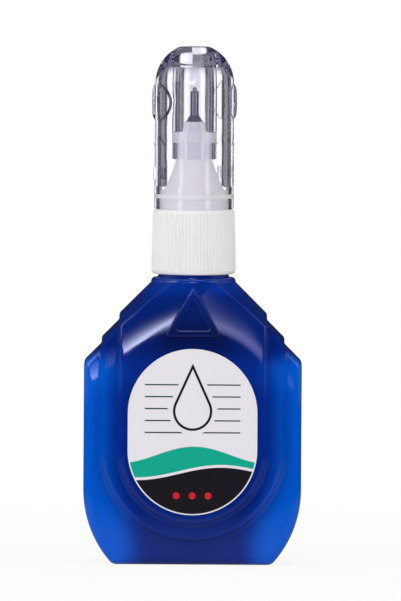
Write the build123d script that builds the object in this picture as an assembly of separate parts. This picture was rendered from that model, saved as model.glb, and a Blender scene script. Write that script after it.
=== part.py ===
from build123d import *
import math
import os

# A correction pen standing on its base. The origin is the middle of the base, +Z runs up the pen
# and the label faces -Y. Sizes are in millimetres.

# Bottle body: three stepped slabs, the front one narrowest, deepest and tallest
front_half_width = 14.85
side_step = 3.52
outer_half_depth = 6.0
face_step = 1.7
front_shoulder = 50.4
shoulder_step = 4.75
lower_arc_height = 23.3
side_arc_radius = 22.0
side_arc_height = 15.0
base_corner_radius = 2.0
outer_edge_round = 1.7
step_edge_round = 0.95
step_root_round = 0.7
step_overlap = 0.5
bottle_wall = 1.0

# Crown: the faces are flat round the label and curve back towards the neck
crown_height = 30.7
crown_margin = 1.2
crown_radius = 29.0

# Neck: a round shoulder ring, then the neck with a bead that the collar snaps over
neck_radius = 7.1
neck_wall = 1.5
neck_length = 12.0
ring_ledge = 1.4
ring_lip = 0.95
ring_round = 0.8
neck_bead = 0.3
neck_bead_drop = 4.0

# Front label, and the raised triangle above it
label_margin = 1.85
label_thickness = 0.12
triangle_gap = 2.55
triangle_height = 9.75
triangle_half_base = 5.6
triangle_border = 1.25
triangle_relief = 0.55
triangle_sink = 0.45
triangle_root = 3.0
triangle_lean = 1.0
triangle_draft = 15.0
triangle_corner_round = 0.35
triangle_edge_round = 0.3

# Nozzle: ribbed collar, seat for the cap, flared cone, sealing plug and nose
collar_gap = 0.7
collar_wall = 1.15
collar_draft = 0.3
collar_round = 0.5
thread_clearance = 0.1
rib_count = 72
rib_depth = 0.16
rib_margin = 0.7
deck_thickness = 1.7
seat_height = 3.7
seat_bead = 0.08
seat_bead_width = 1.2
cone_ledge = 0.65
cone_height = 6.3
cone_sag = 0.12
plug_wall = 1.1
plug_height = 5.5
plug_bead = 0.06
plug_bead_height = 2.2
nose_wall = 1.12
nose_draft = 0.32
nose_height = 2.1
nose_round = 0.3
neck_plug_wall = 1.0
neck_plug_length = 3.5
neck_plug_clearance = 0.05

# Valve inside the nozzle
spring_bore_radius = 2.4
spring_bore_wall = 1.0
core_out_rise = 5.0
press_clearance = 0.01
needle_radius = 0.4
needle_clearance = 0.05
needle_reach = 0.8
needle_grip = 3.5
needle_round = 0.25
needle_travel = 0.8
holder_wall = 0.8
holder_flange_clearance = 0.08
holder_flange_height = 1.0
holder_stem_length = 3.6
holder_tail_gap = 1.4
seal_cone_height = 0.75
seal_gap = 0.05
flow_slot_count = 3
flow_slot_width = 1.0
retainer_plug_length = 2.3
retainer_flange_height = 0.8
retainer_flange_width = 0.8
retainer_hole_radius = 1.3
spring_wire_radius = 0.2
spring_turns = 5
spring_clearance = 0.35
spring_end_gap = 0.05

# Metal tip
tip_shank_radius = 1.3
tip_shank_length = 5.1
tip_foot_radius = 1.75
tip_tube_wall = 0.38
tip_cone_height = 1.3
tip_tube_length = 4.8
tip_edge = 0.12

# Cap: clear shell with a round dome, and a sleeve inside that seals on the plug
cap_ledge = 0.05
cap_clearance = 0.07
cap_seat_gap = 0.05
cap_wall = 1.1
cap_draft = 0.1
cap_step_gap = 0.9
cone_clearance = 0.2
cap_headroom = 4.0
dome_drop = 3.2
dome_flat_drop = 0.6
dimple_radius = 2.2
dimple_depth = 0.5
sleeve_wall = 0.9
sleeve_clearance = 0.05
sleeve_rim_gap = 0.1
sleeve_seat_gap = 0.1
nose_clearance = 0.55
pocket_radius = 3.2
pocket_height = 1.5
pocket_offset = 0.4

# Raised marks on two sides of the cap: a round grip pad, an arrow head and a row of short bars
mark_turn = 28.0
mark_root = 0.5
pad_radius = 3.65
pad_height = 21.5
pad_proud = 0.55
arrow_height = 12.8
arrow_rise = 2.0
arrow_half_width = 2.4
arrow_proud = 0.25
bar_height = 7.25
bar_length = 2.4
bar_width = 0.5
bar_pitch = 1.3
bar_count = 4
bar_proud = 0.4

# Filling
ball_radius = 2.5
ball_clearance = 0.05
channel_clearance = 0.4
fluid_level = 46.0
fluid_clearance = 0.05

# Bottle sizes that follow from these
STEPS = 3
front_half_depth = outer_half_depth + (STEPS - 1) * face_step
ring_radius = neck_radius + ring_ledge
ring_top = front_half_width + front_shoulder - ring_radius + ring_lip
slab_top = ring_top - ring_lip / 2
neck_top = ring_top + neck_length
neck_bore_radius = neck_radius - neck_wall
neck_bead_height = neck_top - neck_bead_drop
label_radius = front_half_width - label_margin
triangle_base = crown_height + label_radius + triangle_gap

# Nozzle sizes that follow from these, with the cap's wall between its collar and its seat
collar_bottom = ring_top + collar_gap
collar_bore_radius = neck_radius + thread_clearance
collar_radius = collar_bore_radius + collar_wall
collar_top_radius = collar_radius - collar_draft
deck_top = neck_top + deck_thickness
cap_radius = collar_top_radius - cap_ledge
cap_bore_radius = cap_radius - cap_wall
seat_radius = cap_bore_radius - cap_clearance - seat_bead
seat_top = deck_top + seat_height
cone_foot_radius = seat_radius - cone_ledge
plug_radius = spring_bore_radius + plug_wall
plug_foot = seat_top + cone_height
plug_top = plug_foot + plug_height
nose_foot_radius = tip_shank_radius + nose_wall
nose_top = plug_top + nose_height
shank_bottom = nose_top - tip_shank_length

# Valve sizes that follow from these
tip_bore_radius = needle_radius + needle_clearance
tip_tube_radius = tip_bore_radius + tip_tube_wall
tip_mouth = nose_top + tip_cone_height + tip_tube_length
needle_top = tip_mouth + needle_reach
holder_radius = needle_radius + holder_wall
holder_top = shank_bottom - seal_gap
flange_top = holder_top - seal_cone_height - holder_stem_length
flange_bottom = flange_top - holder_flange_height
spring_foot = neck_top + retainer_plug_length
spring_radius = holder_radius + spring_clearance + spring_wire_radius
spring_start = spring_foot + spring_end_gap + spring_wire_radius
spring_pitch = (flange_bottom - spring_end_gap - spring_wire_radius - spring_start) / spring_turns

# Cap sizes that follow from these
cap_rim = deck_top + cap_seat_gap
dome_radius = cap_radius - cap_draft
cap_upper_radius = cone_foot_radius + cone_clearance
cap_step = seat_top + cap_step_gap
cap_ceiling = needle_top + cap_headroom
dome_middle = cap_ceiling - dome_drop
cap_top = dome_middle + dome_radius - dome_flat_drop
sleeve_lower_radius = plug_radius + plug_bead + sleeve_clearance
sleeve_radius = sleeve_lower_radius + sleeve_wall
sleeve_bore_radius = nose_foot_radius + nose_clearance
sleeve_rim = plug_foot + sleeve_rim_gap
sleeve_seat = plug_top + sleeve_seat_gap


def upright(radius, low, high):
    """Cylinder on the pen's axis between two heights."""
    return Pos(0, 0, low) * Cylinder(radius, high - low, align=(Align.CENTER, Align.CENTER, Align.MIN))


def turned(*profile):
    """Solid of revolution about the pen's axis, from edges or points given as radius and height."""
    if isinstance(profile[0], tuple):
        profile = Polyline(*profile, close=True)
    return revolve(Plane.XZ * make_face(profile), Axis.Z)


def sharp_edges(solid, ceiling):
    """Edges below a height where two faces meet at a clear angle."""
    smooth_angle = 15
    found = []
    for edge in solid.edges():
        middle = edge.position_at(0.5)
        sides = [face for face in solid.faces() if any(edge.is_same(other) for other in face.edges())]
        if middle.Z > ceiling or len(sides) != 2:
            continue
        if sides[0].normal_at(middle).get_angle(sides[1].normal_at(middle)) > smooth_angle:
            found.append(edge)
    return found


def arched_outline(half_width, top):
    """Straight sides closed below by a half circle."""
    sides = Rectangle(2 * half_width, top - lower_arc_height, align=(Align.CENTER, Align.MIN))
    return Pos(0, lower_arc_height) * (sides + Circle(half_width))


def outer_outline(half_width, top, inset):
    """Straight sides that curve in to a flat base with rounded corners."""
    arc_radius = side_arc_radius - inset
    arc_drop = side_arc_height - inset
    base_half = half_width - arc_radius + math.sqrt(arc_radius**2 - arc_drop**2)
    arc_angle = math.degrees(math.asin(arc_drop / arc_radius))
    right = [
        Line((0, inset), (base_half, inset)),
        CenterArc((half_width - arc_radius, side_arc_height), arc_radius, -arc_angle, arc_angle),
        Line((half_width, side_arc_height), (half_width, top)),
        Line((half_width, top), (0, top)),
    ]
    outline = make_face(right + [mirror(edge, Plane.YZ) for edge in right])
    corners = outline.vertices().sort_by(lambda v: abs(v.Y - inset) + abs(abs(v.X) - base_half))[:2]
    return fillet(corners, base_corner_radius - inset)


def crown_form(half_depth, middle, start, reach, radius):
    """Front and back faces, flat inside a circle and curving back outside it over its upper half."""
    drop = radius - math.sqrt(radius**2 - (reach - start) ** 2)
    front = [
        Line((0, -half_depth), (start, -half_depth)),
        TangentArc((start, -half_depth), (reach, drop - half_depth), tangent=(1, 0)),
        Line((reach, drop - half_depth), (reach, 0)),
    ]
    outline = front + [mirror(edge, Plane.XZ) for edge in front] + [Line((0, half_depth), (0, -half_depth))]
    profile = Pos(0, 0, middle) * make_face(outline)
    upper = revolve(profile, Axis((0, 0, middle), (0, -1, 0)), 180)
    return upper + extrude(profile + mirror(profile, Plane.YZ), -crown_height)


def bottle_slab(step, inset=0):
    """One step of the bottle, counted from the front. The inset gives the hollow inside it."""
    half_width = front_half_width + step * side_step
    half_depth = outer_half_depth + (STEPS - 1 - step) * face_step
    shoulder_apex = half_width + front_shoulder - step * shoulder_step
    top = slab_top if step == 0 else shoulder_apex - half_width + side_step + step_overlap
    if step == STEPS - 1:
        outline = outer_outline(half_width - inset, top - inset, inset)
    else:
        outline = arched_outline(half_width - inset, top - inset)
    slab = extrude(Plane.XZ * outline, half_depth, both=True)
    crown_middle = crown_height - step * shoulder_step
    reach = math.hypot(half_width, top - crown_middle)
    crown_start = half_width + crown_margin
    slab &= crown_form(half_depth - inset, crown_middle, crown_start, reach, crown_radius - inset)
    cone_foot = shoulder_apex - inset * math.sqrt(2)
    cone = Cone(cone_foot, cone_foot - top, top, align=(Align.CENTER, Align.CENTER, Align.MIN))
    return slab & Rot(0, 0, 90) * cone


def bottle_hollow(inset):
    """Inside of the bottle below the neck."""
    return Part() + [bottle_slab(step, inset) for step in range(STEPS)]


def triangle_outline(border):
    """Triangle drawn from the middle of its base, shrunk evenly by a border on all sides."""
    slant = math.hypot(triangle_half_base, triangle_height)
    inradius = triangle_half_base * triangle_height / (triangle_half_base + slant)
    shrink = 1 - border / inradius
    half_base = shrink * triangle_half_base
    tip = border + shrink * triangle_height
    outline = make_face(Polyline((-half_base, border), (half_base, border), (0, tip), close=True))
    return fillet(outline.vertices(), triangle_corner_round)


def build_triangle():
    """Flat triangular pad with drafted walls and a sunk middle, leaning back less than the shoulder."""
    lean = math.radians(triangle_lean)
    front = Plane(
        origin=(0, -front_half_depth - triangle_relief, triangle_base),
        x_dir=(1, 0, 0),
        z_dir=(0, -math.cos(lean), math.sin(lean)),
    )
    spread = triangle_root * math.tan(math.radians(triangle_draft))
    root = front.offset(-triangle_root) * triangle_outline(-spread)
    pad = loft([front * triangle_outline(0), root], ruled=True)
    pad -= extrude(front * triangle_outline(triangle_border), -triangle_sink)
    rim = pad.faces().sort_by(lambda face: (face.center() - front.origin).dot(front.z_dir))[-1]
    return fillet(rim.edges(), triangle_edge_round)


def build_bottle():
    rounds = [step_edge_round] * (STEPS - 1) + [outer_edge_round]
    body = Part()
    for step, radius in enumerate(rounds):
        slab = bottle_slab(step)
        body += fillet(sharp_edges(slab, slab.bounding_box().max.Z - step_overlap / 2), radius)
    body = fillet(sharp_edges(body, front_shoulder), step_root_round)
    ring = upright(ring_radius, front_shoulder - ring_radius, ring_top)
    ring = fillet(ring.edges().group_by(Axis.Z)[-1], ring_round)
    neck = upright(neck_radius, slab_top, neck_top) + neck_bead_ring(neck_bead)
    bore = upright(neck_bore_radius, front_shoulder, neck_top)
    solid = body + ring + build_triangle() + neck
    return solid - bottle_hollow(bottle_wall) - bore


def neck_bead_ring(proud):
    """Bead round the neck, and with its clearance the groove for it in the collar."""
    return turned(
        (neck_bore_radius, neck_bead_height - 2 * proud),
        (neck_radius, neck_bead_height - 2 * proud),
        (neck_radius + proud, neck_bead_height),
        (neck_radius, neck_bead_height + 2 * proud),
        (neck_bore_radius, neck_bead_height + 2 * proud),
    )


def build_label():
    middles = (lower_arc_height, crown_height)
    ends = [Pos(0, height) * Circle(label_radius) for height in middles]
    band = Rectangle(2 * label_radius, middles[1] - middles[0], align=(Align.CENTER, Align.MIN))
    outline = Pos(0, middles[0]) * band + ends
    return Pos(0, -front_half_depth, 0) * extrude(Plane.XZ * outline, label_thickness)


def rib_outline(radius):
    """Ribbed circle: each rib has a flat crest and slanting sides."""
    quarter_pitch = 2 * math.pi / rib_count / 4
    levels = (0, 0, rib_depth, rib_depth)
    points = []
    for corner in range(4 * rib_count):
        reach = radius + levels[corner % 4]
        angle = corner * quarter_pitch
        points.append((reach * math.cos(angle), reach * math.sin(angle)))
    return make_face(Polyline(*points, close=True))


def build_collar():
    """Ribbed skirt of the nozzle, closed above by the deck."""
    skirt = turned(
        (0, collar_bottom),
        (collar_radius, collar_bottom),
        (collar_top_radius, deck_top),
        (0, deck_top),
    )
    skirt = fillet(skirt.edges().filter_by(GeomType.CIRCLE), collar_round)
    rib_bottom = collar_bottom + rib_margin
    rib_top = deck_top - rib_margin
    draft = collar_draft / (deck_top - collar_bottom)
    ribs = loft(
        [
            Pos(0, 0, rib_bottom) * rib_outline(collar_radius - draft * rib_margin),
            Pos(0, 0, rib_top) * rib_outline(collar_top_radius + draft * rib_margin),
        ],
        ruled=True,
    )
    groove = neck_bead_ring(neck_bead + thread_clearance)
    return skirt + ribs - upright(collar_bore_radius, collar_bottom, neck_top) - groove


def build_nozzle():
    bead_height = (deck_top + seat_top) / 2
    bead_half = seat_bead_width / 2
    cone_middle = ((cone_foot_radius + plug_radius) / 2 - cone_sag, (seat_top + plug_foot) / 2)
    below_cone = Polyline(
        (0, neck_top),
        (seat_radius, neck_top),
        (seat_radius, bead_height - bead_half),
        (seat_radius + seat_bead, bead_height),
        (seat_radius, bead_height + bead_half),
        (seat_radius, seat_top),
        (cone_foot_radius, seat_top),
    )
    cone = ThreePointArc((cone_foot_radius, seat_top), cone_middle, (plug_radius, plug_foot))
    plug_bead_foot = plug_top - plug_bead_height
    above_cone = Polyline(
        (plug_radius, plug_foot),
        (plug_radius, plug_bead_foot),
        (plug_radius + plug_bead, plug_bead_foot + plug_bead),
        (plug_radius + plug_bead, plug_top - plug_bead),
        (plug_radius, plug_top),
        (nose_foot_radius, plug_top),
        (nose_foot_radius - nose_draft, nose_top),
        (0, nose_top),
        (0, neck_top),
    )
    spout = turned(below_cone, cone, above_cone)
    spout = fillet(spout.edges().group_by(Axis.Z)[-1], nose_round)
    neck_plug_radius = neck_bore_radius - neck_plug_clearance
    core_radius = neck_plug_radius - neck_plug_wall
    neck_plug = upright(neck_plug_radius, neck_top - neck_plug_length, neck_top)
    neck_plug -= upright(core_radius, neck_top - neck_plug_length, neck_top)
    core_out = upright(core_radius, neck_top, neck_top + core_out_rise)
    core_out -= upright(spring_bore_radius + spring_bore_wall, neck_top, neck_top + core_out_rise)
    spring_bore = upright(spring_bore_radius, neck_top, shank_bottom)
    tip_bore = upright(tip_shank_radius + press_clearance, shank_bottom, nose_top)
    return build_collar() + spout + neck_plug - core_out - spring_bore - tip_bore


def build_metal_tip():
    return turned(
        (tip_bore_radius, shank_bottom),
        (tip_shank_radius, shank_bottom),
        (tip_shank_radius, nose_top),
        (tip_foot_radius, nose_top),
        (tip_tube_radius, nose_top + tip_cone_height),
        (tip_tube_radius, tip_mouth - tip_edge),
        (tip_tube_radius - tip_edge, tip_mouth),
        (tip_bore_radius, tip_mouth),
    )


def build_needle():
    needle = upright(needle_radius, holder_top - needle_grip, needle_top)
    return fillet(needle.edges().group_by(Axis.Z)[-1], needle_round)


def build_needle_holder():
    """Valve rod: tail inside the spring, slotted guide flange, stem and sealing cone."""
    flange_radius = spring_bore_radius - holder_flange_clearance
    rod = turned(
        (0, spring_foot + needle_travel + holder_tail_gap),
        (holder_radius, spring_foot + needle_travel + holder_tail_gap),
        (holder_radius, flange_bottom),
        (flange_radius, flange_bottom),
        (flange_radius, flange_top),
        (holder_radius, flange_top),
        (holder_radius, holder_top - seal_cone_height),
        (needle_radius + needle_clearance, holder_top),
        (0, holder_top),
    )
    slot_depth = flange_radius - holder_radius
    slot = Box(slot_depth, flow_slot_width, holder_flange_height, align=(Align.MIN, Align.CENTER, Align.MIN))
    slots = PolarLocations(holder_radius + slot_depth / 2, flow_slot_count) * slot
    socket = upright(needle_radius + press_clearance, holder_top - needle_grip, holder_top)
    return rod - [Pos(0, 0, flange_bottom) * cut for cut in slots] - socket


def build_spring_retainer():
    flange_radius = spring_bore_radius + retainer_flange_width
    plug = upright(spring_bore_radius - press_clearance, neck_top, spring_foot)
    flange = upright(flange_radius, neck_top - retainer_flange_height, neck_top)
    return plug + flange - upright(retainer_hole_radius, neck_top - retainer_flange_height, spring_foot)


def coil_point(turn):
    angle = 2 * math.pi * turn
    height = spring_start + spring_pitch * turn
    return Vector(spring_radius * math.cos(angle), spring_radius * math.sin(angle), height)


def coil_direction(turn):
    angle = 2 * math.pi * turn
    run = 2 * math.pi * spring_radius
    return Vector(-run * math.sin(angle), run * math.cos(angle), spring_pitch).normalized()


def biarc(start, start_direction, end, end_direction):
    """Two arcs that leave one point and reach another along given directions."""
    chord = end - start
    spread = 1 - start_direction.dot(end_direction)
    along = chord.dot(start_direction + end_direction)
    reach = (math.sqrt(along**2 + 2 * spread * chord.dot(chord)) - along) / (2 * spread)
    near = start + start_direction * reach
    far = end - end_direction * reach
    middle = (near + far) * 0.5
    return [
        Edge.make_tangent_arc(start, start_direction, middle),
        Edge.make_tangent_arc(middle, far - near, end),
    ]


def build_valve_spring():
    quarters = [quarter / 4 for quarter in range(4 * spring_turns + 1)]
    arcs = []
    for low, high in zip(quarters, quarters[1:]):
        arcs += biarc(coil_point(low), coil_direction(low), coil_point(high), coil_direction(high))
    path = Wire(arcs)
    section = Plane(coil_point(0), z_dir=coil_direction(0)) * Circle(spring_wire_radius)
    print("valve_spring least gap to itself, mm:", round(least_coil_gap(path), 3))
    return sweep(section, path)


def least_coil_gap(path):
    """Least gap between stretches of the wire that are at least half a turn apart."""
    samples_per_turn = 24
    count = samples_per_turn * spring_turns
    points = [path.position_at(sample / count) for sample in range(count + 1)]
    gaps = [
        (points[a] - points[b]).length
        for a in range(count + 1)
        for b in range(a + samples_per_turn // 2, count + 1)
    ]
    return min(gaps) - 2 * spring_wire_radius


def raised_mark(sketch, proud):
    """Outline raised on the cap's two marked sides. The sketch's middle is on the cap's rim."""
    band = upright(cap_radius + proud, cap_rim, cap_top)
    band -= upright(dome_radius - mark_root, cap_rim, cap_top)
    marks = Part()
    for turn in (180 + mark_turn, mark_turn):
        block = extrude(Plane.YZ * sketch, 2 * cap_radius)
        marks += band & Pos(0, 0, cap_rim) * Rot(0, 0, turn) * block
    return marks


def build_cap():
    dome_edge = math.sqrt(dome_radius**2 - (dome_radius - dome_flat_drop) ** 2)
    half_rise = math.pi / 4
    dome = ThreePointArc(
        (dome_radius, dome_middle),
        (dome_radius * math.cos(half_rise), dome_middle + dome_radius * math.sin(half_rise)),
        (dome_edge, cap_top),
    )
    outside = turned(
        Polyline((0, cap_rim), (cap_radius, cap_rim), (dome_radius, dome_middle)),
        dome,
        Polyline((dome_edge, cap_top), (0, cap_top), (0, cap_rim)),
    )
    arrow = Polyline((-arrow_half_width, 0), (arrow_half_width, 0), (0, arrow_rise), close=True)
    outside += raised_mark(Pos(0, pad_height) * Circle(pad_radius), pad_proud)
    outside += raised_mark(Pos(0, arrow_height) * make_face(arrow), arrow_proud)
    bars = GridLocations(bar_pitch, 0, bar_count, 1) * Rectangle(bar_width, bar_length)
    outside += raised_mark(Pos(0, bar_height) * Sketch(children=bars), bar_proud)
    hollow = upright(cap_bore_radius, cap_rim, cap_step) + upright(cap_upper_radius, cap_rim, cap_ceiling)
    hollow -= upright(sleeve_radius, sleeve_rim, cap_ceiling)
    hollow += upright(sleeve_lower_radius, sleeve_rim, sleeve_seat)
    hollow += upright(sleeve_bore_radius, sleeve_rim, cap_ceiling)
    pocket = upright(pocket_radius, cap_ceiling, cap_ceiling + pocket_height)
    pocket &= Pos(-pocket_offset, 0, cap_ceiling) * Box(
        2 * pocket_radius, 2 * pocket_radius, pocket_height, align=(Align.MIN, Align.CENTER, Align.MIN)
    )
    dish_radius = (dimple_radius**2 + dimple_depth**2) / (2 * dimple_depth)
    dish = Pos(0, 0, cap_top - dimple_depth + dish_radius) * Sphere(dish_radius)
    return outside - hollow - pocket - dish


def build_mixing_ball():
    return Pos(0, 0, bottle_wall + ball_clearance + ball_radius) * Sphere(ball_radius)


def build_fluid():
    """Filling up to its level, with a clear channel where the ball runs."""
    block = Box(
        4 * front_half_width + 4 * side_step,
        4 * front_half_depth,
        fluid_level,
        align=(Align.CENTER, Align.CENTER, Align.MIN),
    )
    channel = upright(ball_radius + channel_clearance, 0, fluid_level)
    return bottle_hollow(bottle_wall + fluid_clearance) & block - channel


PIECES = {
    "bottle": build_bottle,
    "front_label": build_label,
    "nozzle": build_nozzle,
    "metal_tip": build_metal_tip,
    "valve_needle": build_needle,
    "needle_holder": build_needle_holder,
    "valve_spring": build_valve_spring,
    "spring_retainer": build_spring_retainer,
    "cap": build_cap,
    "mixing_ball": build_mixing_ball,
    "correction_fluid": build_fluid,
}

os.makedirs("parts", exist_ok=True)
for name, build in PIECES.items():
    export_step(build(), f"parts/{name}.step")
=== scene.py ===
import math

import bpy
from mathutils import Matrix, Vector


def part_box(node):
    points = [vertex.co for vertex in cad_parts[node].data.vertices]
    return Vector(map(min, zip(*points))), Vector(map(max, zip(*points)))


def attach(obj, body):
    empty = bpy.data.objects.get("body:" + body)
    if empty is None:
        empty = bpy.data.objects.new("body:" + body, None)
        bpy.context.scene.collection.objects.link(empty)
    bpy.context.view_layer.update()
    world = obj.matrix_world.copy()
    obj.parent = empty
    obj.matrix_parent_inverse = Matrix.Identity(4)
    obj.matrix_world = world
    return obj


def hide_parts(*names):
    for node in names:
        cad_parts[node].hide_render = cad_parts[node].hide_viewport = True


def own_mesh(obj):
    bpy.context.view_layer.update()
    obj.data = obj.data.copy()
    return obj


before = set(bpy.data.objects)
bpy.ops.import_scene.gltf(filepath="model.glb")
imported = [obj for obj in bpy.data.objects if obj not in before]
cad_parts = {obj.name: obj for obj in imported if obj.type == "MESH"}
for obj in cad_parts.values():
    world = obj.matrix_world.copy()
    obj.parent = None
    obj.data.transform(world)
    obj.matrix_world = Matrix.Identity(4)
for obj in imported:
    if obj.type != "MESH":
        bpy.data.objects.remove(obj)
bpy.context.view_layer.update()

# Correction pen on a white table. Lengths are in metres, and inside the materials in millimetres.
MILLIMETRES = 1000.0

# Camera in front of the pen, raised a little above its middle, with its angles in degrees
VIEW_MIDDLE = Vector((0.00144, 0.0, 0.05295))
VIEW_HEIGHT = 0.1209
VIEW_ELEVATION = 3.0
VIEW_ROLL = 0.36
VIEW_DEPTH = 10.0
CAMERA_DISTANCE = 2.5
SENSOR_MM = 36.0

# Table: a white round top that fades into the white room, how bright it looks beside the pen, and a painted
# pool of light that reflections see near the pen
TABLE_RADIUS = 0.6
TABLE_SIDES = 96
TABLE_FADE = (60.0, 200.0)
TABLE_PAINT = (0.85, 0.85, 0.85, 1.0)
TABLE_WHITENESS = 0.88
TABLE_PAINTED_POOL = 0.25

# Colours of the light
WHITE_LIGHT = (1.0, 1.0, 1.0, 1.0)
COOL_LIGHT = (0.94, 1.0, 1.35, 1.0)
BLUE_LIGHT = (0.92, 0.90, 1.7, 1.0)
ROOM_LIGHT = (0.685, 0.68, 0.638, 1.0)

# Softboxes: where each hangs and how it is turned, in degrees, and how its panel fades
PLAIN_PANEL = {"roll": 0.0, "fades": (0.0, 0.0), "sides": 0.1, "foot": 0.1, "colour": WHITE_LIGHT}
SIDE_PANEL = {"elevation": 25.0, "distance": 1.0, "width": 0.5, "height": 0.7, **PLAIN_PANEL}
SOFTBOXES = {
    "key_softbox": {
        "azimuth": -17.3, "elevation": 18.3, "roll": -8.1, "distance": 3.0, "width": 1.83, "height": 1.58,
        "brightness": 16.2, "fades": (32.6, 1.4), "sides": 0.06, "foot": 0.03, "colour": COOL_LIGHT,
    },
    "fill_softbox": {
        "azimuth": 6.9, "elevation": 19.5, "roll": -18.7, "distance": 3.0, "width": 0.86, "height": 2.29,
        "brightness": 11.0, "fades": (1.65, 8.85), "sides": 0.17, "foot": 0.23, "colour": BLUE_LIGHT,
    },
    "top_softbox": {
        "azimuth": 0.0, "elevation": 80.0, "distance": 0.9, "width": 0.6, "height": 0.6,
        "brightness": 1.6, **PLAIN_PANEL,
    },
    "left_softbox": {"azimuth": -60.0, "brightness": 2.3, **SIDE_PANEL},
    "right_softbox": {"azimuth": 60.0, "brightness": 1.1, **SIDE_PANEL},
}
LAMP_TARGET = Vector((0.0, 0.0, 0.05))
PANEL_MIDDLE = 0.5

# Screens seen through clear plastic, one to a row: place from behind the pen to in front, and brightness
SCREENS = (
    (0.0, 1.18), (0.04, 1.18), (0.055, 1.5), (0.095, 1.5), (0.115, 0.0),
    (0.23, 0.0), (0.26, 0.28), (0.31, 0.28), (0.34, 0.0),
    (0.44, 0.0), (0.50, 0.28), (0.56, 0.0),
    (0.69, 0.0), (0.73, 4.0), (0.77, 4.0), (0.81, 0.0),
    (0.88, 0.0), (0.92, 0.25), (1.0, 0.25),
)
SCREEN_DARK = (0.045, 0.041, 0.065, 1.0)

# What clear plastic sees above and below the screens
STEEP_WAYS = (0.15, 0.4)
STEEP_SHADE = (0.22, 0.21, 0.25, 1.0)

# Room that glossy surfaces mirror: lighter sides, on the same scale from behind to in front
MIRRORED_DARK = (0.02, 0.02, 0.025, 1.0)
MIRRORED_SIDES = (0.30, 0.30, 0.32, 1.0)
SIDES_BACK_EDGE = (0.25, 0.45)
SIDES_FRONT_EDGE = (0.75, 0.55)

# Colours as the finished surfaces show them
# The bottle's blue runs from a painted shade through its own blue to a painted glow of light coming through
BOTTLE_PAINTED_SHADE = (0.0012, 0.0055, 0.065, 1.0)
BOTTLE_BLUE = (0.0010, 0.024, 0.25, 1.0)
BOTTLE_PAINTED_GLOW = (0.0003, 0.100, 0.58, 1.0)
LABEL_WHITE = (0.75, 0.725, 0.735, 1.0)
LABEL_BLACK = (0.008, 0.006, 0.008, 1.0)
LABEL_GREEN = (0.001, 0.36, 0.24, 1.0)
LABEL_RED = (0.55, 0.012, 0.02, 1.0)
NOZZLE_WHITE = (0.83, 0.81, 0.795, 1.0)
NOZZLE_SHADE = (0.80, 0.78, 0.77, 1.0)
TIP_METAL = (0.47, 0.46, 0.51, 1.0)
TIP_GROOVE = (0.27, 0.26, 0.30, 1.0)
STEEL_BRIGHT = (0.62, 0.62, 0.64, 1.0)
STEEL_DULL = (0.48, 0.48, 0.50, 1.0)
VALVE_NATURAL = (0.78, 0.78, 0.74, 1.0)
VALVE_CLOUD = (0.70, 0.70, 0.67, 1.0)
FLUID_WHITE = (0.88, 0.88, 0.88, 1.0)
FLUID_SETTLED = (0.80, 0.80, 0.80, 1.0)
CAP_CLEAR = (0.97, 0.965, 0.985, 1.0)
CAP_TINT = (0.55, 0.52, 0.72, 1.0)
CAP_TINT_DENSITY = 50.0

# Skin of the surfaces: grain and mottle against the ripple, and what smudges add to roughness
GRAIN_TO_RIPPLE = 0.15
MOTTLE_TO_RIPPLE = 0.4
MOTTLE_EDGES = (0.35, 0.75)
MOTTLE_MEAN = 0.5
SMUDGE_EDGES = (0.5, 0.75)
PLASTIC_SMUDGE = 0.08
METAL_SMUDGE = 0.1
TOOL_RINGS = 14.0
TOOL_RING_EDGES = (0.35, 0.65)

# Painted light in the bottle's blue: a painted glow of light coming through, most at its sides, and painted
# shade above the label. Heights, half widths and depths over which they change, and by how much
SIDE_WIDTHS = (11.0, 22.0)
SIDE_GLOW = 0.70
MIDDLE_GLOW = 0.28
CORNER_HEIGHTS = (20.0, 3.0)
CORNER_WIDENING = 0.35
SHOULDER_HEIGHTS = (33.0, 39.0)
SHOULDER_WIDTHS = (4.0, 10.0)
SHOULDER_GLOW = 0.14
CROWN_HEIGHTS = (39.0, 45.0)
CROWN_GLOW = 0.26
# Painted shade above the label on the front of the empty shoulder: heights, half widths, depths, and how
# dark
PAINTED_SHADE_FOOT = (40.0, 45.0)
PAINTED_SHADE_TOP = (54.0, 46.0)
PAINTED_SHADE_WIDTHS = (13.0, 4.0)
PAINTED_SHADE_DEPTHS = (0.0, -5.0)
PAINTED_SHADE_AMOUNT = 0.85
NECK_RING_HEIGHTS = (53.5, 55.5)
NECK_RING_GLOW = 0.22
FOOT_HEIGHTS = (14.0, 8.0)
FOOT_GLOW = 0.06
MOTTLE_GLOW = 0.08
BLUE_STOP = 0.45

# Satin stretch of the bottle's upper steps, where the coat thins out
SATIN_WIDTHS = (14.7, 15.3)
SATIN_HEIGHTS = (28.0, 34.0)
SATIN_DEPTHS = (5.0, 6.5)

# Label print: soft edge of the ink, bare margin, ruled lines, drop, waves and spots
INK_EDGE = 0.05
LABEL_RADIUS = 13.0
LABEL_MIDDLES = (23.3, 30.7)
BARE_MARGIN = 0.25
RULE_FIRST, RULE_LAST, RULE_PITCH = 26.9, 36.5, 2.4
RULE_HALF_LENGTH = 9.6
RULE_HALF_WIDTH = 0.13
DROP_MIDDLE, DROP_RADIUS, DROP_TIP = 31.2, 3.7, 9.0
DROP_LINE = 0.25
DROP_HALO = 1.1
GREEN_WAVE = {"level": 22.4, "swing": 1.7, "length": 30.0, "shift": 1.5}
BLACK_WAVE = {"level": 18.6, "swing": 1.3, "length": 34.0, "shift": 0.5}
WHITE_GAP = 0.55
SPOTS = (-3.2, 0.0, 3.2)
SPOT_HEIGHT, SPOT_RADIUS = 14.2, 0.7

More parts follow.
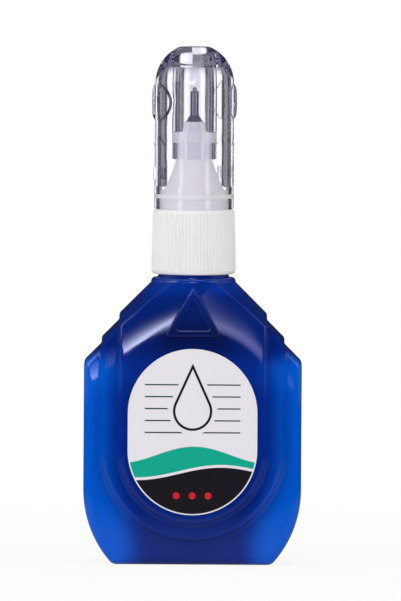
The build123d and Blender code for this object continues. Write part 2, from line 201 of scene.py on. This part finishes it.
# Bands where the nozzle presses against the clear cap
SEAL_BANDS = {
    "plug_seal_band": {"radius": 0.00364, "low": 0.08475, "high": 0.08685},
    "seat_seal_band": {"radius": 0.00693, "low": 0.0736, "high": 0.0744},
}
SEAL_DEPTH = 0.0002
SEAL_SIDES = 96

# Valve spring
WIRE_RADIUS = 0.0002
SPRING_TURNS = 5
RINGS_PER_TURN = 32
WIRE_SIDES = 10

# Sockets of the mix node that carry its factor and its colours
MIX_FACTOR, MIX_FIRST, MIX_SECOND = 0, 6, 7
MIX_RESULT = 2


def join(tree, value, socket):
    """Sets a socket to a plain value, or links an output to it."""
    if isinstance(value, bpy.types.NodeSocket):
        tree.links.new(value, socket)
    else:
        socket.default_value = value


def add(tree, kind, inputs=None, **settings):
    """Adds a shader node with its settings, and with its inputs by name or number."""
    node = tree.nodes.new("ShaderNode" + kind)
    for name, value in settings.items():
        setattr(node, name, value)
    for name, value in (inputs or {}).items():
        join(tree, value, node.inputs[name])
    return node


def maths(tree, operation, *values):
    """Result of one operation on numbers or outputs."""
    return add(tree, "Math", dict(enumerate(values)), operation=operation).outputs["Value"]


def product(tree, *masks):
    """Masks or numbers multiplied together."""
    result, *others = masks
    for mask in others:
        result = maths(tree, "MULTIPLY", result, mask)
    return result


def rise(tree, value, low, high):
    """Soft step from 0 at low to 1 at high."""
    limits = {"Value": value, "From Min": low, "From Max": high}
    return add(tree, "MapRange", limits, interpolation_type="SMOOTHSTEP").outputs["Result"]


def mix_colours(tree, factor, first, second):
    """Blend from the first colour at 0 to the second at 1."""
    inputs = {MIX_FACTOR: factor, MIX_FIRST: first, MIX_SECOND: second}
    return add(tree, "Mix", inputs, data_type="RGBA").outputs[MIX_RESULT]


def mix_shaders(tree, factor, first, second):
    """Blend from the first shader at 0 to the second at 1."""
    return add(tree, "MixShader", {0: factor, 1: first, 2: second}).outputs["Shader"]


def noise(tree, vector, scale, detail=2.0):
    """Cloudy pattern between 0 and 1."""
    return add(tree, "TexNoise", {"Vector": vector, "Scale": scale, "Detail": detail}).outputs["Fac"]


def pen_place(tree):
    """Place on the pen in millimetres."""
    place = add(tree, "TexCoord").outputs["Object"]
    return add(tree, "VectorMath", {0: place, "Scale": MILLIMETRES}, operation="SCALE").outputs["Vector"]


def split(tree, vector):
    """The X, Y and Z of a vector."""
    return add(tree, "SeparateXYZ", {"Vector": vector}).outputs


def new_group(name, inputs, outputs):
    """Shader node group with named sockets. Gives the group, its inputs and its outputs."""
    group = bpy.data.node_groups.new(name, "ShaderNodeTree")
    for socket, kind in inputs.items():
        group.interface.new_socket(socket, in_out="INPUT", socket_type="NodeSocket" + kind)
    for socket in outputs:
        group.interface.new_socket(socket, in_out="OUTPUT", socket_type="NodeSocketFloat")
    start = group.nodes.new("NodeGroupInput")
    end = group.nodes.new("NodeGroupOutput")
    return group, start.outputs, end.inputs


def place_group(tree, group, inputs):
    """Places a node group in a material and gives its outputs."""
    return add(tree, "Group", inputs, node_tree=group).outputs


def make_moulded_skin():
    """Slow ripple and fine grain of a moulded surface, and slow mottling of its colour."""
    group, given, wanted = new_group(
        "moulded_skin",
        {"Vector": "Vector", "Ripple": "Float", "Grain": "Float"},
        ("Height", "Mottle"),
    )
    ripple = noise(group, given["Vector"], given["Ripple"])
    grain = noise(group, given["Vector"], given["Grain"], detail=3.0)
    fine = maths(group, "MULTIPLY", grain, GRAIN_TO_RIPPLE)
    join(group, maths(group, "ADD", ripple, fine), wanted["Height"])
    mottle_scale = maths(group, "MULTIPLY", given["Ripple"], MOTTLE_TO_RIPPLE)
    join(group, noise(group, given["Vector"], mottle_scale, detail=4.0), wanted["Mottle"])
    return group


def make_handling_marks():
    """Faint smudges left by handling."""
    group, given, wanted = new_group(
        "handling_marks",
        {"Vector": "Vector", "Smudge Size": "Float"},
        ("Smudges",),
    )
    smudge_scale = maths(group, "DIVIDE", 1.0, given["Smudge Size"])
    smudge = noise(group, given["Vector"], smudge_scale, detail=5.0)
    join(group, rise(group, smudge, *SMUDGE_EDGES), wanted["Smudges"])
    return group


moulded_skin = make_moulded_skin()
handling_marks = make_handling_marks()


def new_material(name):
    """Empty material and its node tree."""
    material = bpy.data.materials.new(name)
    material.use_nodes = True
    material.node_tree.nodes.clear()
    return material, material.node_tree


def show(tree, surface, volume=None):
    """Puts a shader on the surface, and another inside it where there is one."""
    out = add(tree, "OutputMaterial", {"Surface": surface})
    if volume is not None:
        join(tree, volume, out.inputs["Volume"])


def bump(tree, height, depth_mm):
    """Normal of a surface that rises and falls by a depth."""
    inputs = {"Strength": 1.0, "Distance": depth_mm / MILLIMETRES, "Height": height}
    return add(tree, "Bump", inputs).outputs["Normal"]


def roughness_with(tree, mask, clean, marked):
    """Roughness from clean where the mask is 0 to marked where it is 1."""
    return maths(tree, "MULTIPLY_ADD", mask, marked - clean, clean)


def painted_light_through_bottle(tree, across, y, z, mottle):
    """Share of painted light coming through the bottle, most at its sides, least under the painted shade
    above the label.
    """
    low_corner = maths(tree, "MULTIPLY_ADD", rise(tree, z, *CORNER_HEIGHTS), CORNER_WIDENING, 1.0)
    side = maths(tree, "MULTIPLY", across, low_corner)
    glow = maths(tree, "MULTIPLY_ADD", rise(tree, side, *SIDE_WIDTHS), SIDE_GLOW, MIDDLE_GLOW)
    # Painted glow on the shoulder and the crown above it
    shoulder = product(tree, rise(tree, z, *SHOULDER_HEIGHTS), rise(tree, across, *SHOULDER_WIDTHS))
    glow = maths(tree, "MULTIPLY_ADD", shoulder, SHOULDER_GLOW, glow)
    to_crown = maths(tree, "SUBTRACT", CROWN_GLOW, glow)
    glow = maths(tree, "MULTIPLY_ADD", rise(tree, z, *CROWN_HEIGHTS), to_crown, glow)
    # Painted shade above the label, darkest round the empty shoulder
    painted_shade = product(
        tree,
        rise(tree, z, *PAINTED_SHADE_FOOT),
        rise(tree, z, *PAINTED_SHADE_TOP),
        rise(tree, across, *PAINTED_SHADE_WIDTHS),
        rise(tree, y, *PAINTED_SHADE_DEPTHS),
    )
    glow = maths(tree, "MULTIPLY", glow, maths(tree, "MULTIPLY_ADD", painted_shade, -PAINTED_SHADE_AMOUNT, 1.0))
    # Painted glow at the neck ring and at the foot
    glow = maths(tree, "MULTIPLY_ADD", rise(tree, z, *NECK_RING_HEIGHTS), NECK_RING_GLOW, glow)
    glow = maths(tree, "MULTIPLY_ADD", rise(tree, z, *FOOT_HEIGHTS), FOOT_GLOW, glow)
    uneven = maths(tree, "SUBTRACT", mottle, MOTTLE_MEAN)
    return maths(tree, "MULTIPLY_ADD", uneven, MOTTLE_GLOW, glow)


def bottle_plastic():
    """Blue plastic with painted shade round the empty shoulder and a painted glow where light comes through.
    """
    material, tree = new_material("blue_bottle_plastic")
    place = pen_place(tree)
    x, y, z = split(tree, place)
    across = maths(tree, "ABSOLUTE", x)
    skin = place_group(tree, moulded_skin, {"Vector": place, "Ripple": 1.3, "Grain": 5.0})
    marks = place_group(tree, handling_marks, {"Vector": place, "Smudge Size": 9.0})
    # Colour ramp from painted shade through the bottle's blue to a painted glow
    ramp = add(tree, "ValToRGB", {"Fac": painted_light_through_bottle(tree, across, y, z, skin["Mottle"])})
    stops = ramp.color_ramp.elements
    stops[0].color = BOTTLE_PAINTED_SHADE
    stops[1].color = BOTTLE_PAINTED_GLOW
    stops.new(BLUE_STOP).color = BOTTLE_BLUE
    satin_steps = product(
        tree,
        rise(tree, across, *SATIN_WIDTHS),
        rise(tree, z, *SATIN_HEIGHTS),
        rise(tree, maths(tree, "ABSOLUTE", y), *SATIN_DEPTHS),
    )
    shader = add(
        tree,
        "BsdfPrincipled",
        {
            "Base Color": ramp.outputs["Color"],
            "Roughness": roughness_with(tree, marks["Smudges"], clean=0.1, marked=0.13),
            "IOR": 1.5,
            "Specular IOR Level": 0.05,
            "Coat Weight": maths(tree, "SUBTRACT", 1.0, satin_steps),
            "Coat Roughness": 0.05,
            "Normal": bump(tree, skin["Height"], depth_mm=0.003),
            "Subsurface Weight": 0.35,
            "Subsurface Radius": (0.3, 0.6, 1.0),
            "Subsurface Scale": 0.002,
        },
    )
    show(tree, shader.outputs["BSDF"])
    return material


def reach(tree, x, z, middle_x, middle_z):
    """Distance from a point on the label."""
    across = maths(tree, "SUBTRACT", x, middle_x)
    along = maths(tree, "SUBTRACT", z, middle_z)
    square = maths(tree, "MULTIPLY_ADD", across, across, maths(tree, "MULTIPLY", along, along))
    return maths(tree, "SQRT", square)


def inked(tree, distance, limit=0.0):
    """Mask of the print where a distance is under its limit."""
    return rise(tree, distance, limit + INK_EDGE, limit - INK_EDGE)


def over_wave(tree, x, z, level, swing, length, shift):
    """Height above a gentle wave across the label."""
    turn = maths(tree, "MULTIPLY_ADD", x, 2 * math.pi / length, shift)
    top = maths(tree, "MULTIPLY_ADD", maths(tree, "SINE", turn), swing, level)
    return maths(tree, "SUBTRACT", z, top)


def ruled_lines(tree, x, z):
    """Mask of the ruled lines."""
    offset = maths(tree, "PINGPONG", maths(tree, "SUBTRACT", z, RULE_FIRST), RULE_PITCH / 2)
    middle = (RULE_FIRST + RULE_LAST) / 2
    half_band = (RULE_LAST - RULE_FIRST + RULE_PITCH) / 2
    band = inked(tree, maths(tree, "ABSOLUTE", maths(tree, "SUBTRACT", z, middle)), half_band)
    length = inked(tree, maths(tree, "ABSOLUTE", x), RULE_HALF_LENGTH)
    return product(tree, inked(tree, offset, RULE_HALF_WIDTH), band, length)


def drop_distance(tree, x, z):
    """Distance outside the outline of a drop, a circle with a tip drawn up from it."""
    slope = math.asin(DROP_RADIUS / DROP_TIP)
    up = maths(tree, "SUBTRACT", z, DROP_MIDDLE)
    body = maths(tree, "SUBTRACT", reach(tree, x, z, 0.0, DROP_MIDDLE), DROP_RADIUS)
    lean = maths(tree, "MULTIPLY_ADD", up, math.sin(slope), -DROP_RADIUS)
    side = maths(tree, "MULTIPLY_ADD", maths(tree, "ABSOLUTE", x), math.cos(slope), lean)
    foot = maths(tree, "SUBTRACT", DROP_RADIUS * math.sin(slope), up)
    return maths(tree, "MINIMUM", body, maths(tree, "MAXIMUM", side, foot))


def label_artwork(tree, x, z):
    """Colour of the print: a drop over ruled lines, a green wave, and red spots on a black foot."""
    drop = drop_distance(tree, x, z)
    drop_line = inked(tree, maths(tree, "ABSOLUTE", drop), DROP_LINE)
    over_green = over_wave(tree, x, z, **GREEN_WAVE)
    over_black = over_wave(tree, x, z, **BLACK_WAVE)
    colour = mix_colours(tree, ruled_lines(tree, x, z), LABEL_WHITE, LABEL_BLACK)
    colour = mix_colours(tree, inked(tree, drop, DROP_HALO), colour, LABEL_WHITE)
    colour = mix_colours(tree, drop_line, colour, LABEL_BLACK)
    colour = mix_colours(tree, inked(tree, over_green), colour, LABEL_GREEN)
    colour = mix_colours(tree, inked(tree, over_black, WHITE_GAP), colour, LABEL_WHITE)
    colour = mix_colours(tree, inked(tree, over_black), colour, LABEL_BLACK)
    for spot in SPOTS:
        from_spot = reach(tree, x, z, spot, SPOT_HEIGHT)
        colour = mix_colours(tree, inked(tree, from_spot, SPOT_RADIUS), colour, LABEL_RED)
    return colour


def label_print():
    """Printed satin film with a bare white margin."""
    material, tree = new_material("label_print")
    place = pen_place(tree)
    axes = split(tree, place)
    x, z = axes["X"], axes["Z"]
    low_middle, high_middle = LABEL_MIDDLES
    nearest = add(tree, "Clamp", {"Value": z, "Min": low_middle, "Max": high_middle}).outputs["Result"]
    printed = inked(tree, reach(tree, x, z, 0.0, nearest), LABEL_RADIUS - BARE_MARGIN)
    skin = place_group(tree, moulded_skin, {"Vector": place, "Ripple": 0.5, "Grain": 9.0})
    marks = place_group(tree, handling_marks, {"Vector": place, "Smudge Size": 6.0})
    shader = add(
        tree,
        "BsdfPrincipled",
        {
            "Base Color": mix_colours(tree, printed, LABEL_WHITE, label_artwork(tree, x, z)),
            "Roughness": roughness_with(tree, marks["Smudges"], clean=0.35, marked=0.42),
            "IOR": 1.45,
            "Specular IOR Level": 0.1,
            "Normal": bump(tree, skin["Height"], depth_mm=0.005),
        },
    )
    show(tree, shader.outputs["BSDF"])
    return material


def moulded_plastic(name, colour, shade, roughness, grain_depth):
    """Plain moulded plastic with a faint mottle, grain and smudges."""
    material, tree = new_material(name)
    place = pen_place(tree)
    skin = place_group(tree, moulded_skin, {"Vector": place, "Ripple": 0.4, "Grain": 8.0})
    marks = place_group(tree, handling_marks, {"Vector": place, "Smudge Size": 5.0})
    smudged = roughness + PLASTIC_SMUDGE
    shader = add(
        tree,
        "BsdfPrincipled",
        {
            "Base Color": mix_colours(tree, rise(tree, skin["Mottle"], *MOTTLE_EDGES), colour, shade),
            "Roughness": roughness_with(tree, marks["Smudges"], clean=roughness, marked=smudged),
            "IOR": 1.5,
            "Normal": bump(tree, skin["Height"], grain_depth),
        },
    )
    show(tree, shader.outputs["BSDF"])
    return material


def turned_metal(name, bright, dull, roughness):
    """Metal with fine tool rings round the axis."""
    material, tree = new_material(name)
    place = pen_place(tree)
    height = add(tree, "CombineXYZ", {"Z": split(tree, place)["Z"]}).outputs["Vector"]
    rings = noise(tree, height, TOOL_RINGS, detail=4.0)
    marks = place_group(tree, handling_marks, {"Vector": place, "Smudge Size": 2.0})
    smudged = roughness + METAL_SMUDGE
    shader = add(
        tree,
        "BsdfPrincipled",
        {
            "Base Color": mix_colours(tree, rise(tree, rings, *TOOL_RING_EDGES), dull, bright),
            "Metallic": 1.0,
            "Roughness": roughness_with(tree, marks["Smudges"], clean=roughness, marked=smudged),
            "Normal": bump(tree, rings, depth_mm=0.006),
        },
    )
    show(tree, shader.outputs["BSDF"])
    return material


def clear_cap_plastic():
    """Clear plastic, faintly violet through its thickness. Lamps shine through to what is inside."""
    material, tree = new_material("clear_cap_plastic")
    marks = place_group(tree, handling_marks, {"Vector": pen_place(tree), "Smudge Size": 5.0})
    glass = add(
        tree,
        "BsdfPrincipled",
        {
            "Base Color": CAP_CLEAR,
            "Roughness": roughness_with(tree, marks["Smudges"], clean=0.0, marked=0.03),
            "IOR": 1.52,
            "Transmission Weight": 1.0,
        },
    )
    lamp_light = add(tree, "BsdfTransparent", {"Color": CAP_CLEAR})
    path = add(tree, "LightPath").outputs
    through = maths(tree, "MAXIMUM", path["Is Shadow Ray"], path["Is Diffuse Ray"])
    surface = mix_shaders(tree, through, glass.outputs["BSDF"], lamp_light.outputs["BSDF"])
    tint = add(tree, "VolumeAbsorption", {"Color": CAP_TINT, "Density": CAP_TINT_DENSITY})
    show(tree, surface, tint.outputs["Volume"])
    return material


def dress(node, material):
    """Gives a piece of the frame its finish."""
    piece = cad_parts[node]
    piece.data.materials.clear()
    piece.data.materials.append(material)


def add_piece(name, points, faces, material):
    """New piece from its points and faces, with its finish."""
    mesh = bpy.data.meshes.new(name)
    mesh.from_pydata(points, [], faces)
    mesh.materials.append(material)
    piece = bpy.data.objects.new(name, mesh)
    bpy.context.scene.collection.objects.link(piece)
    return piece


def coil_ring(centre, outward, along):
    """One ring of points round the spring's wire."""
    across = outward.cross(along)
    ring = []
    for side in range(WIRE_SIDES):
        angle = 2 * math.pi * side / WIRE_SIDES
        ring.append(centre + WIRE_RADIUS * (math.cos(angle) * outward + math.sin(angle) * across))
    return ring


def valve_spring(steel):
    """Coil spring to the size of the frame's valve spring, which it hides, carried with the bottle."""
    low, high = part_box("valve_spring")
    coil_radius = high.x - WIRE_RADIUS
    start = low.z + WIRE_RADIUS
    climb = (high.z - low.z - 2 * WIRE_RADIUS) / SPRING_TURNS
    slope = climb / (2 * math.pi * coil_radius)
    points = []
    count = SPRING_TURNS * RINGS_PER_TURN + 1
    for ring in range(count):
        turn = 2 * math.pi * ring / RINGS_PER_TURN
        outward = Vector((math.cos(turn), math.sin(turn), 0.0))
        along = Vector((-math.sin(turn), math.cos(turn), slope)).normalized()
        centre = coil_radius * outward + Vector((0.0, 0.0, start + climb * ring / RINGS_PER_TURN))
        points += coil_ring(centre, outward, along)
    faces = [list(range(WIRE_SIDES))[::-1], list(range(len(points) - WIRE_SIDES, len(points)))]
    for ring in range(count - 1):
        for side in range(WIRE_SIDES):
            here = ring * WIRE_SIDES + side
            beside = ring * WIRE_SIDES + (side + 1) % WIRE_SIDES
            faces.append([here, beside, beside + WIRE_SIDES, here + WIRE_SIDES])
    coil = add_piece("spring_coil", points, faces, steel)
    coil.data.shade_smooth()
    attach(coil, "bottle")
    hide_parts("valve_spring")
    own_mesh(coil)


def seal_band(name, plastic, radius, low, high):
    """White ring of the nozzle that shows through the cap where the two press together."""
    inner = radius - SEAL_DEPTH
    corners = ((radius, low), (radius, high), (inner, high), (inner, low))
    points = []
    faces = []
    for side in range(SEAL_SIDES):
        angle = 2 * math.pi * side / SEAL_SIDES
        points += [(out * math.cos(angle), out * math.sin(angle), height) for out, height in corners]
        here = len(corners) * side
        there = len(corners) * ((side + 1) % SEAL_SIDES)
        for corner in range(len(corners)):
            following = (corner + 1) % len(corners)
            faces.append([here + corner, there + corner, there + following, here + following])
    band = add_piece(name, points, faces, plastic)
    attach(band, "bottle")


def dress_pen():
    """Gives every piece its finish, and adds the coil and the bands that the frame doesn't hold."""
    steel = turned_metal("needle_steel", STEEL_BRIGHT, STEEL_DULL, roughness=0.2)
    tip = turned_metal("tip_metal", TIP_METAL, TIP_GROOVE, roughness=0.28)
    valve = moulded_plastic("valve_plastic", VALVE_NATURAL, VALVE_CLOUD, roughness=0.5, grain_depth=0.01)
    nozzle = moulded_plastic("nozzle_plastic", NOZZLE_WHITE, NOZZLE_SHADE, roughness=0.4, grain_depth=0.006)
    fluid = moulded_plastic("correction_white", FLUID_WHITE, FLUID_SETTLED, roughness=0.3, grain_depth=0.005)
    dress("bottle", bottle_plastic())
    dress("front_label", label_print())
    dress("nozzle", nozzle)
    dress("metal_tip", tip)
    dress("valve_needle", steel)
    dress("needle_holder", valve)
    dress("spring_retainer", valve)
    dress("cap", clear_cap_plastic())
    dress("mixing_ball", steel)
    dress("correction_fluid", fluid)
    valve_spring(steel)
    for name, sizes in SEAL_BANDS.items():
        seal_band(name, nozzle, **sizes)


def direction(azimuth, elevation):
    """Unit vector from the pen, with azimuth 0 in front of the label and positive to its right."""
    turn = math.radians(azimuth)
    lift = math.radians(elevation)
    return Vector((math.sin(turn) * math.cos(lift), -math.cos(turn) * math.cos(lift), math.sin(lift)))


def facing(away, roll):
    """Rotation that looks back along a direction, rolled by an angle in degrees."""
    return away.to_track_quat("Z", "Y").to_matrix() @ Matrix.Rotation(math.radians(roll), 3, "Z")


def panel_strength(tree, box):
    """Brightness over a lamp panel that fades upward, with soft sides and a soft foot."""
    panel = split(tree, add(tree, "NewGeometry").outputs["Parametric"])
    left_fade, right_fade = box["fades"]
    fade = maths(tree, "MULTIPLY_ADD", panel["X"], right_fade - left_fade, left_fade)
    upward = maths(tree, "POWER", maths(tree, "SUBTRACT", 1.0, panel["Y"]), fade)
    inward = maths(tree, "PINGPONG", panel["X"], PANEL_MIDDLE)
    soft_sides = rise(tree, inward, 0.0, box["sides"])
    soft_foot = rise(tree, panel["Y"], 0.0, box["foot"])
    return product(tree, upward, box["brightness"], soft_sides, soft_foot)


def hang_softbox(name, box):
    """Lamp panel that faces the pen."""
    lamp = bpy.data.lights.new(name, "AREA")
    lamp.shape = "RECTANGLE"
    lamp.size = box["width"]
    lamp.size_y = box["height"]
    # Power grows with the panel, so that its brightness doesn't depend on its size
    lamp.energy = math.pi * box["width"] * box["height"]
    lamp.use_nodes = True
    tree = lamp.node_tree
    tree.nodes.clear()
    glow = add(tree, "Emission", {"Color": box["colour"], "Strength": panel_strength(tree, box)})
    add(tree, "OutputLight", {"Surface": glow.outputs["Emission"]})
    softbox = bpy.data.objects.new(name, lamp)
    away = direction(box["azimuth"], box["elevation"])
    softbox.location = LAMP_TARGET + box["distance"] * away
    softbox.rotation_euler = facing(away, box["roll"]).to_euler()
    softbox.visible_camera = False
    softbox.visible_transmission = False
    bpy.context.scene.collection.objects.link(softbox)


def screen_shade(light):
    """Colour of a screen, dark at 0 and white at 1."""
    return [light + (1.0 - light) * dark for dark in SCREEN_DARK]


def screens_round(tree, turn):
    """Colour of the bright and dark screens at a turn from behind the pen to in front."""
    ramp = add(tree, "ValToRGB", {"Fac": turn})
    stops = ramp.color_ramp.elements
    lights = dict(SCREENS)
    stops[0].color = screen_shade(lights.pop(0.0))
    stops[1].color = screen_shade(lights.pop(1.0))
    for place, light in lights.items():
        stops.new(place).color = screen_shade(light)
    return ramp.outputs["Color"]


def light_room():
    """White room behind the pen. Clear plastic sees screens round it, and gloss mirrors a dark room."""
    world = bpy.data.worlds.new("white_room")
    world.use_nodes = True
    tree = world.node_tree
    tree.nodes.clear()
    way = split(tree, add(tree, "TexCoord").outputs["Generated"])
    bearing = maths(tree, "ARCTAN2", way["X"], way["Y"])
    turn = maths(tree, "DIVIDE", maths(tree, "ABSOLUTE", bearing), math.pi)
    steep = rise(tree, maths(tree, "ABSOLUTE", way["Z"]), *STEEP_WAYS)
    through_cap = mix_colours(tree, steep, screens_round(tree, turn), STEEP_SHADE)
    beside = product(tree, rise(tree, turn, *SIDES_BACK_EDGE), rise(tree, turn, *SIDES_FRONT_EDGE))
    mirrored = mix_colours(tree, beside, MIRRORED_DARK, MIRRORED_SIDES)
    path = add(tree, "LightPath").outputs
    colour = mix_colours(tree, path["Is Camera Ray"], ROOM_LIGHT, WHITE_LIGHT)
    colour = mix_colours(tree, path["Is Glossy Ray"], colour, mirrored)
    colour = mix_colours(tree, path["Is Transmission Ray"], colour, through_cap)
    background = add(tree, "Background", {"Color": colour, "Strength": 1.0})
    add(tree, "OutputWorld", {"Surface": background.outputs["Background"]})
    bpy.context.scene.world = world


def table_white():
    """White top that holds the pen's shadow and fades into the room. Gloss sees a painted pool of light on
    it near the pen, fading outward.
    """
    material, tree = new_material("table_white")
    out = add(tree, "VectorMath", {0: pen_place(tree)}, operation="LENGTH").outputs["Value"]
    far = rise(tree, out, *TABLE_FADE)
    path = add(tree, "LightPath").outputs
    paint = add(tree, "BsdfDiffuse", {"Color": TABLE_PAINT})
    white = add(tree, "Emission", {"Color": WHITE_LIGHT, "Strength": 1.0})
    # Painted pool of light that only reflections see, fading away from the pen
    painted_pool_strength = maths(tree, "MULTIPLY_ADD", far, -TABLE_PAINTED_POOL, TABLE_PAINTED_POOL)
    painted_pool = add(tree, "Emission", {"Color": WHITE_LIGHT, "Strength": painted_pool_strength})
    room = add(tree, "BsdfTransparent")
    lit = maths(tree, "MULTIPLY_ADD", far, 1.0 - TABLE_WHITENESS, TABLE_WHITENESS)
    seen = maths(tree, "MULTIPLY", path["Is Camera Ray"], lit)
    mirrored = maths(tree, "SUBTRACT", path["Is Glossy Ray"], path["Is Transmission Ray"])
    top = mix_shaders(tree, seen, paint.outputs["BSDF"], white.outputs["Emission"])
    top = mix_shaders(tree, mirrored, top, painted_pool.outputs["Emission"])
    top = mix_shaders(tree, path["Is Transmission Ray"], top, room.outputs["BSDF"])
    show(tree, top)
    return material


def lay_table():
    """Round table top that the pen stands on."""
    rim = []
    for side in range(TABLE_SIDES):
        angle = 2 * math.pi * side / TABLE_SIDES
        rim.append((TABLE_RADIUS * math.cos(angle), TABLE_RADIUS * math.sin(angle), 0.0))
    table = add_piece("table_top", rim, [list(range(TABLE_SIDES))], table_white())


def set_camera():
    """Camera far in front of the pen with a long lens."""
    camera_data = bpy.data.cameras.new("camera")
    camera_data.sensor_width = SENSOR_MM
    camera_data.lens = SENSOR_MM * CAMERA_DISTANCE / VIEW_HEIGHT
    camera_data.clip_end = VIEW_DEPTH
    camera = bpy.data.objects.new("camera", camera_data)
    back = direction(0.0, VIEW_ELEVATION)
    place = Matrix.Translation(VIEW_MIDDLE + CAMERA_DISTANCE * back)
    camera.matrix_world = place @ facing(back, VIEW_ROLL).to_4x4()
    bpy.context.scene.collection.objects.link(camera)
    bpy.context.scene.camera = camera


dress_pen()
for softbox, settings in SOFTBOXES.items():
    hang_softbox(softbox, settings)
light_room()
lay_table()
set_camera()
bpy.context.scene.view_settings.view_transform = "Standard"
bpy.context.scene.cycles.max_bounces = 40
bpy.context.scene.cycles.glossy_bounces = 30
bpy.context.scene.cycles.transmission_bounces = 30
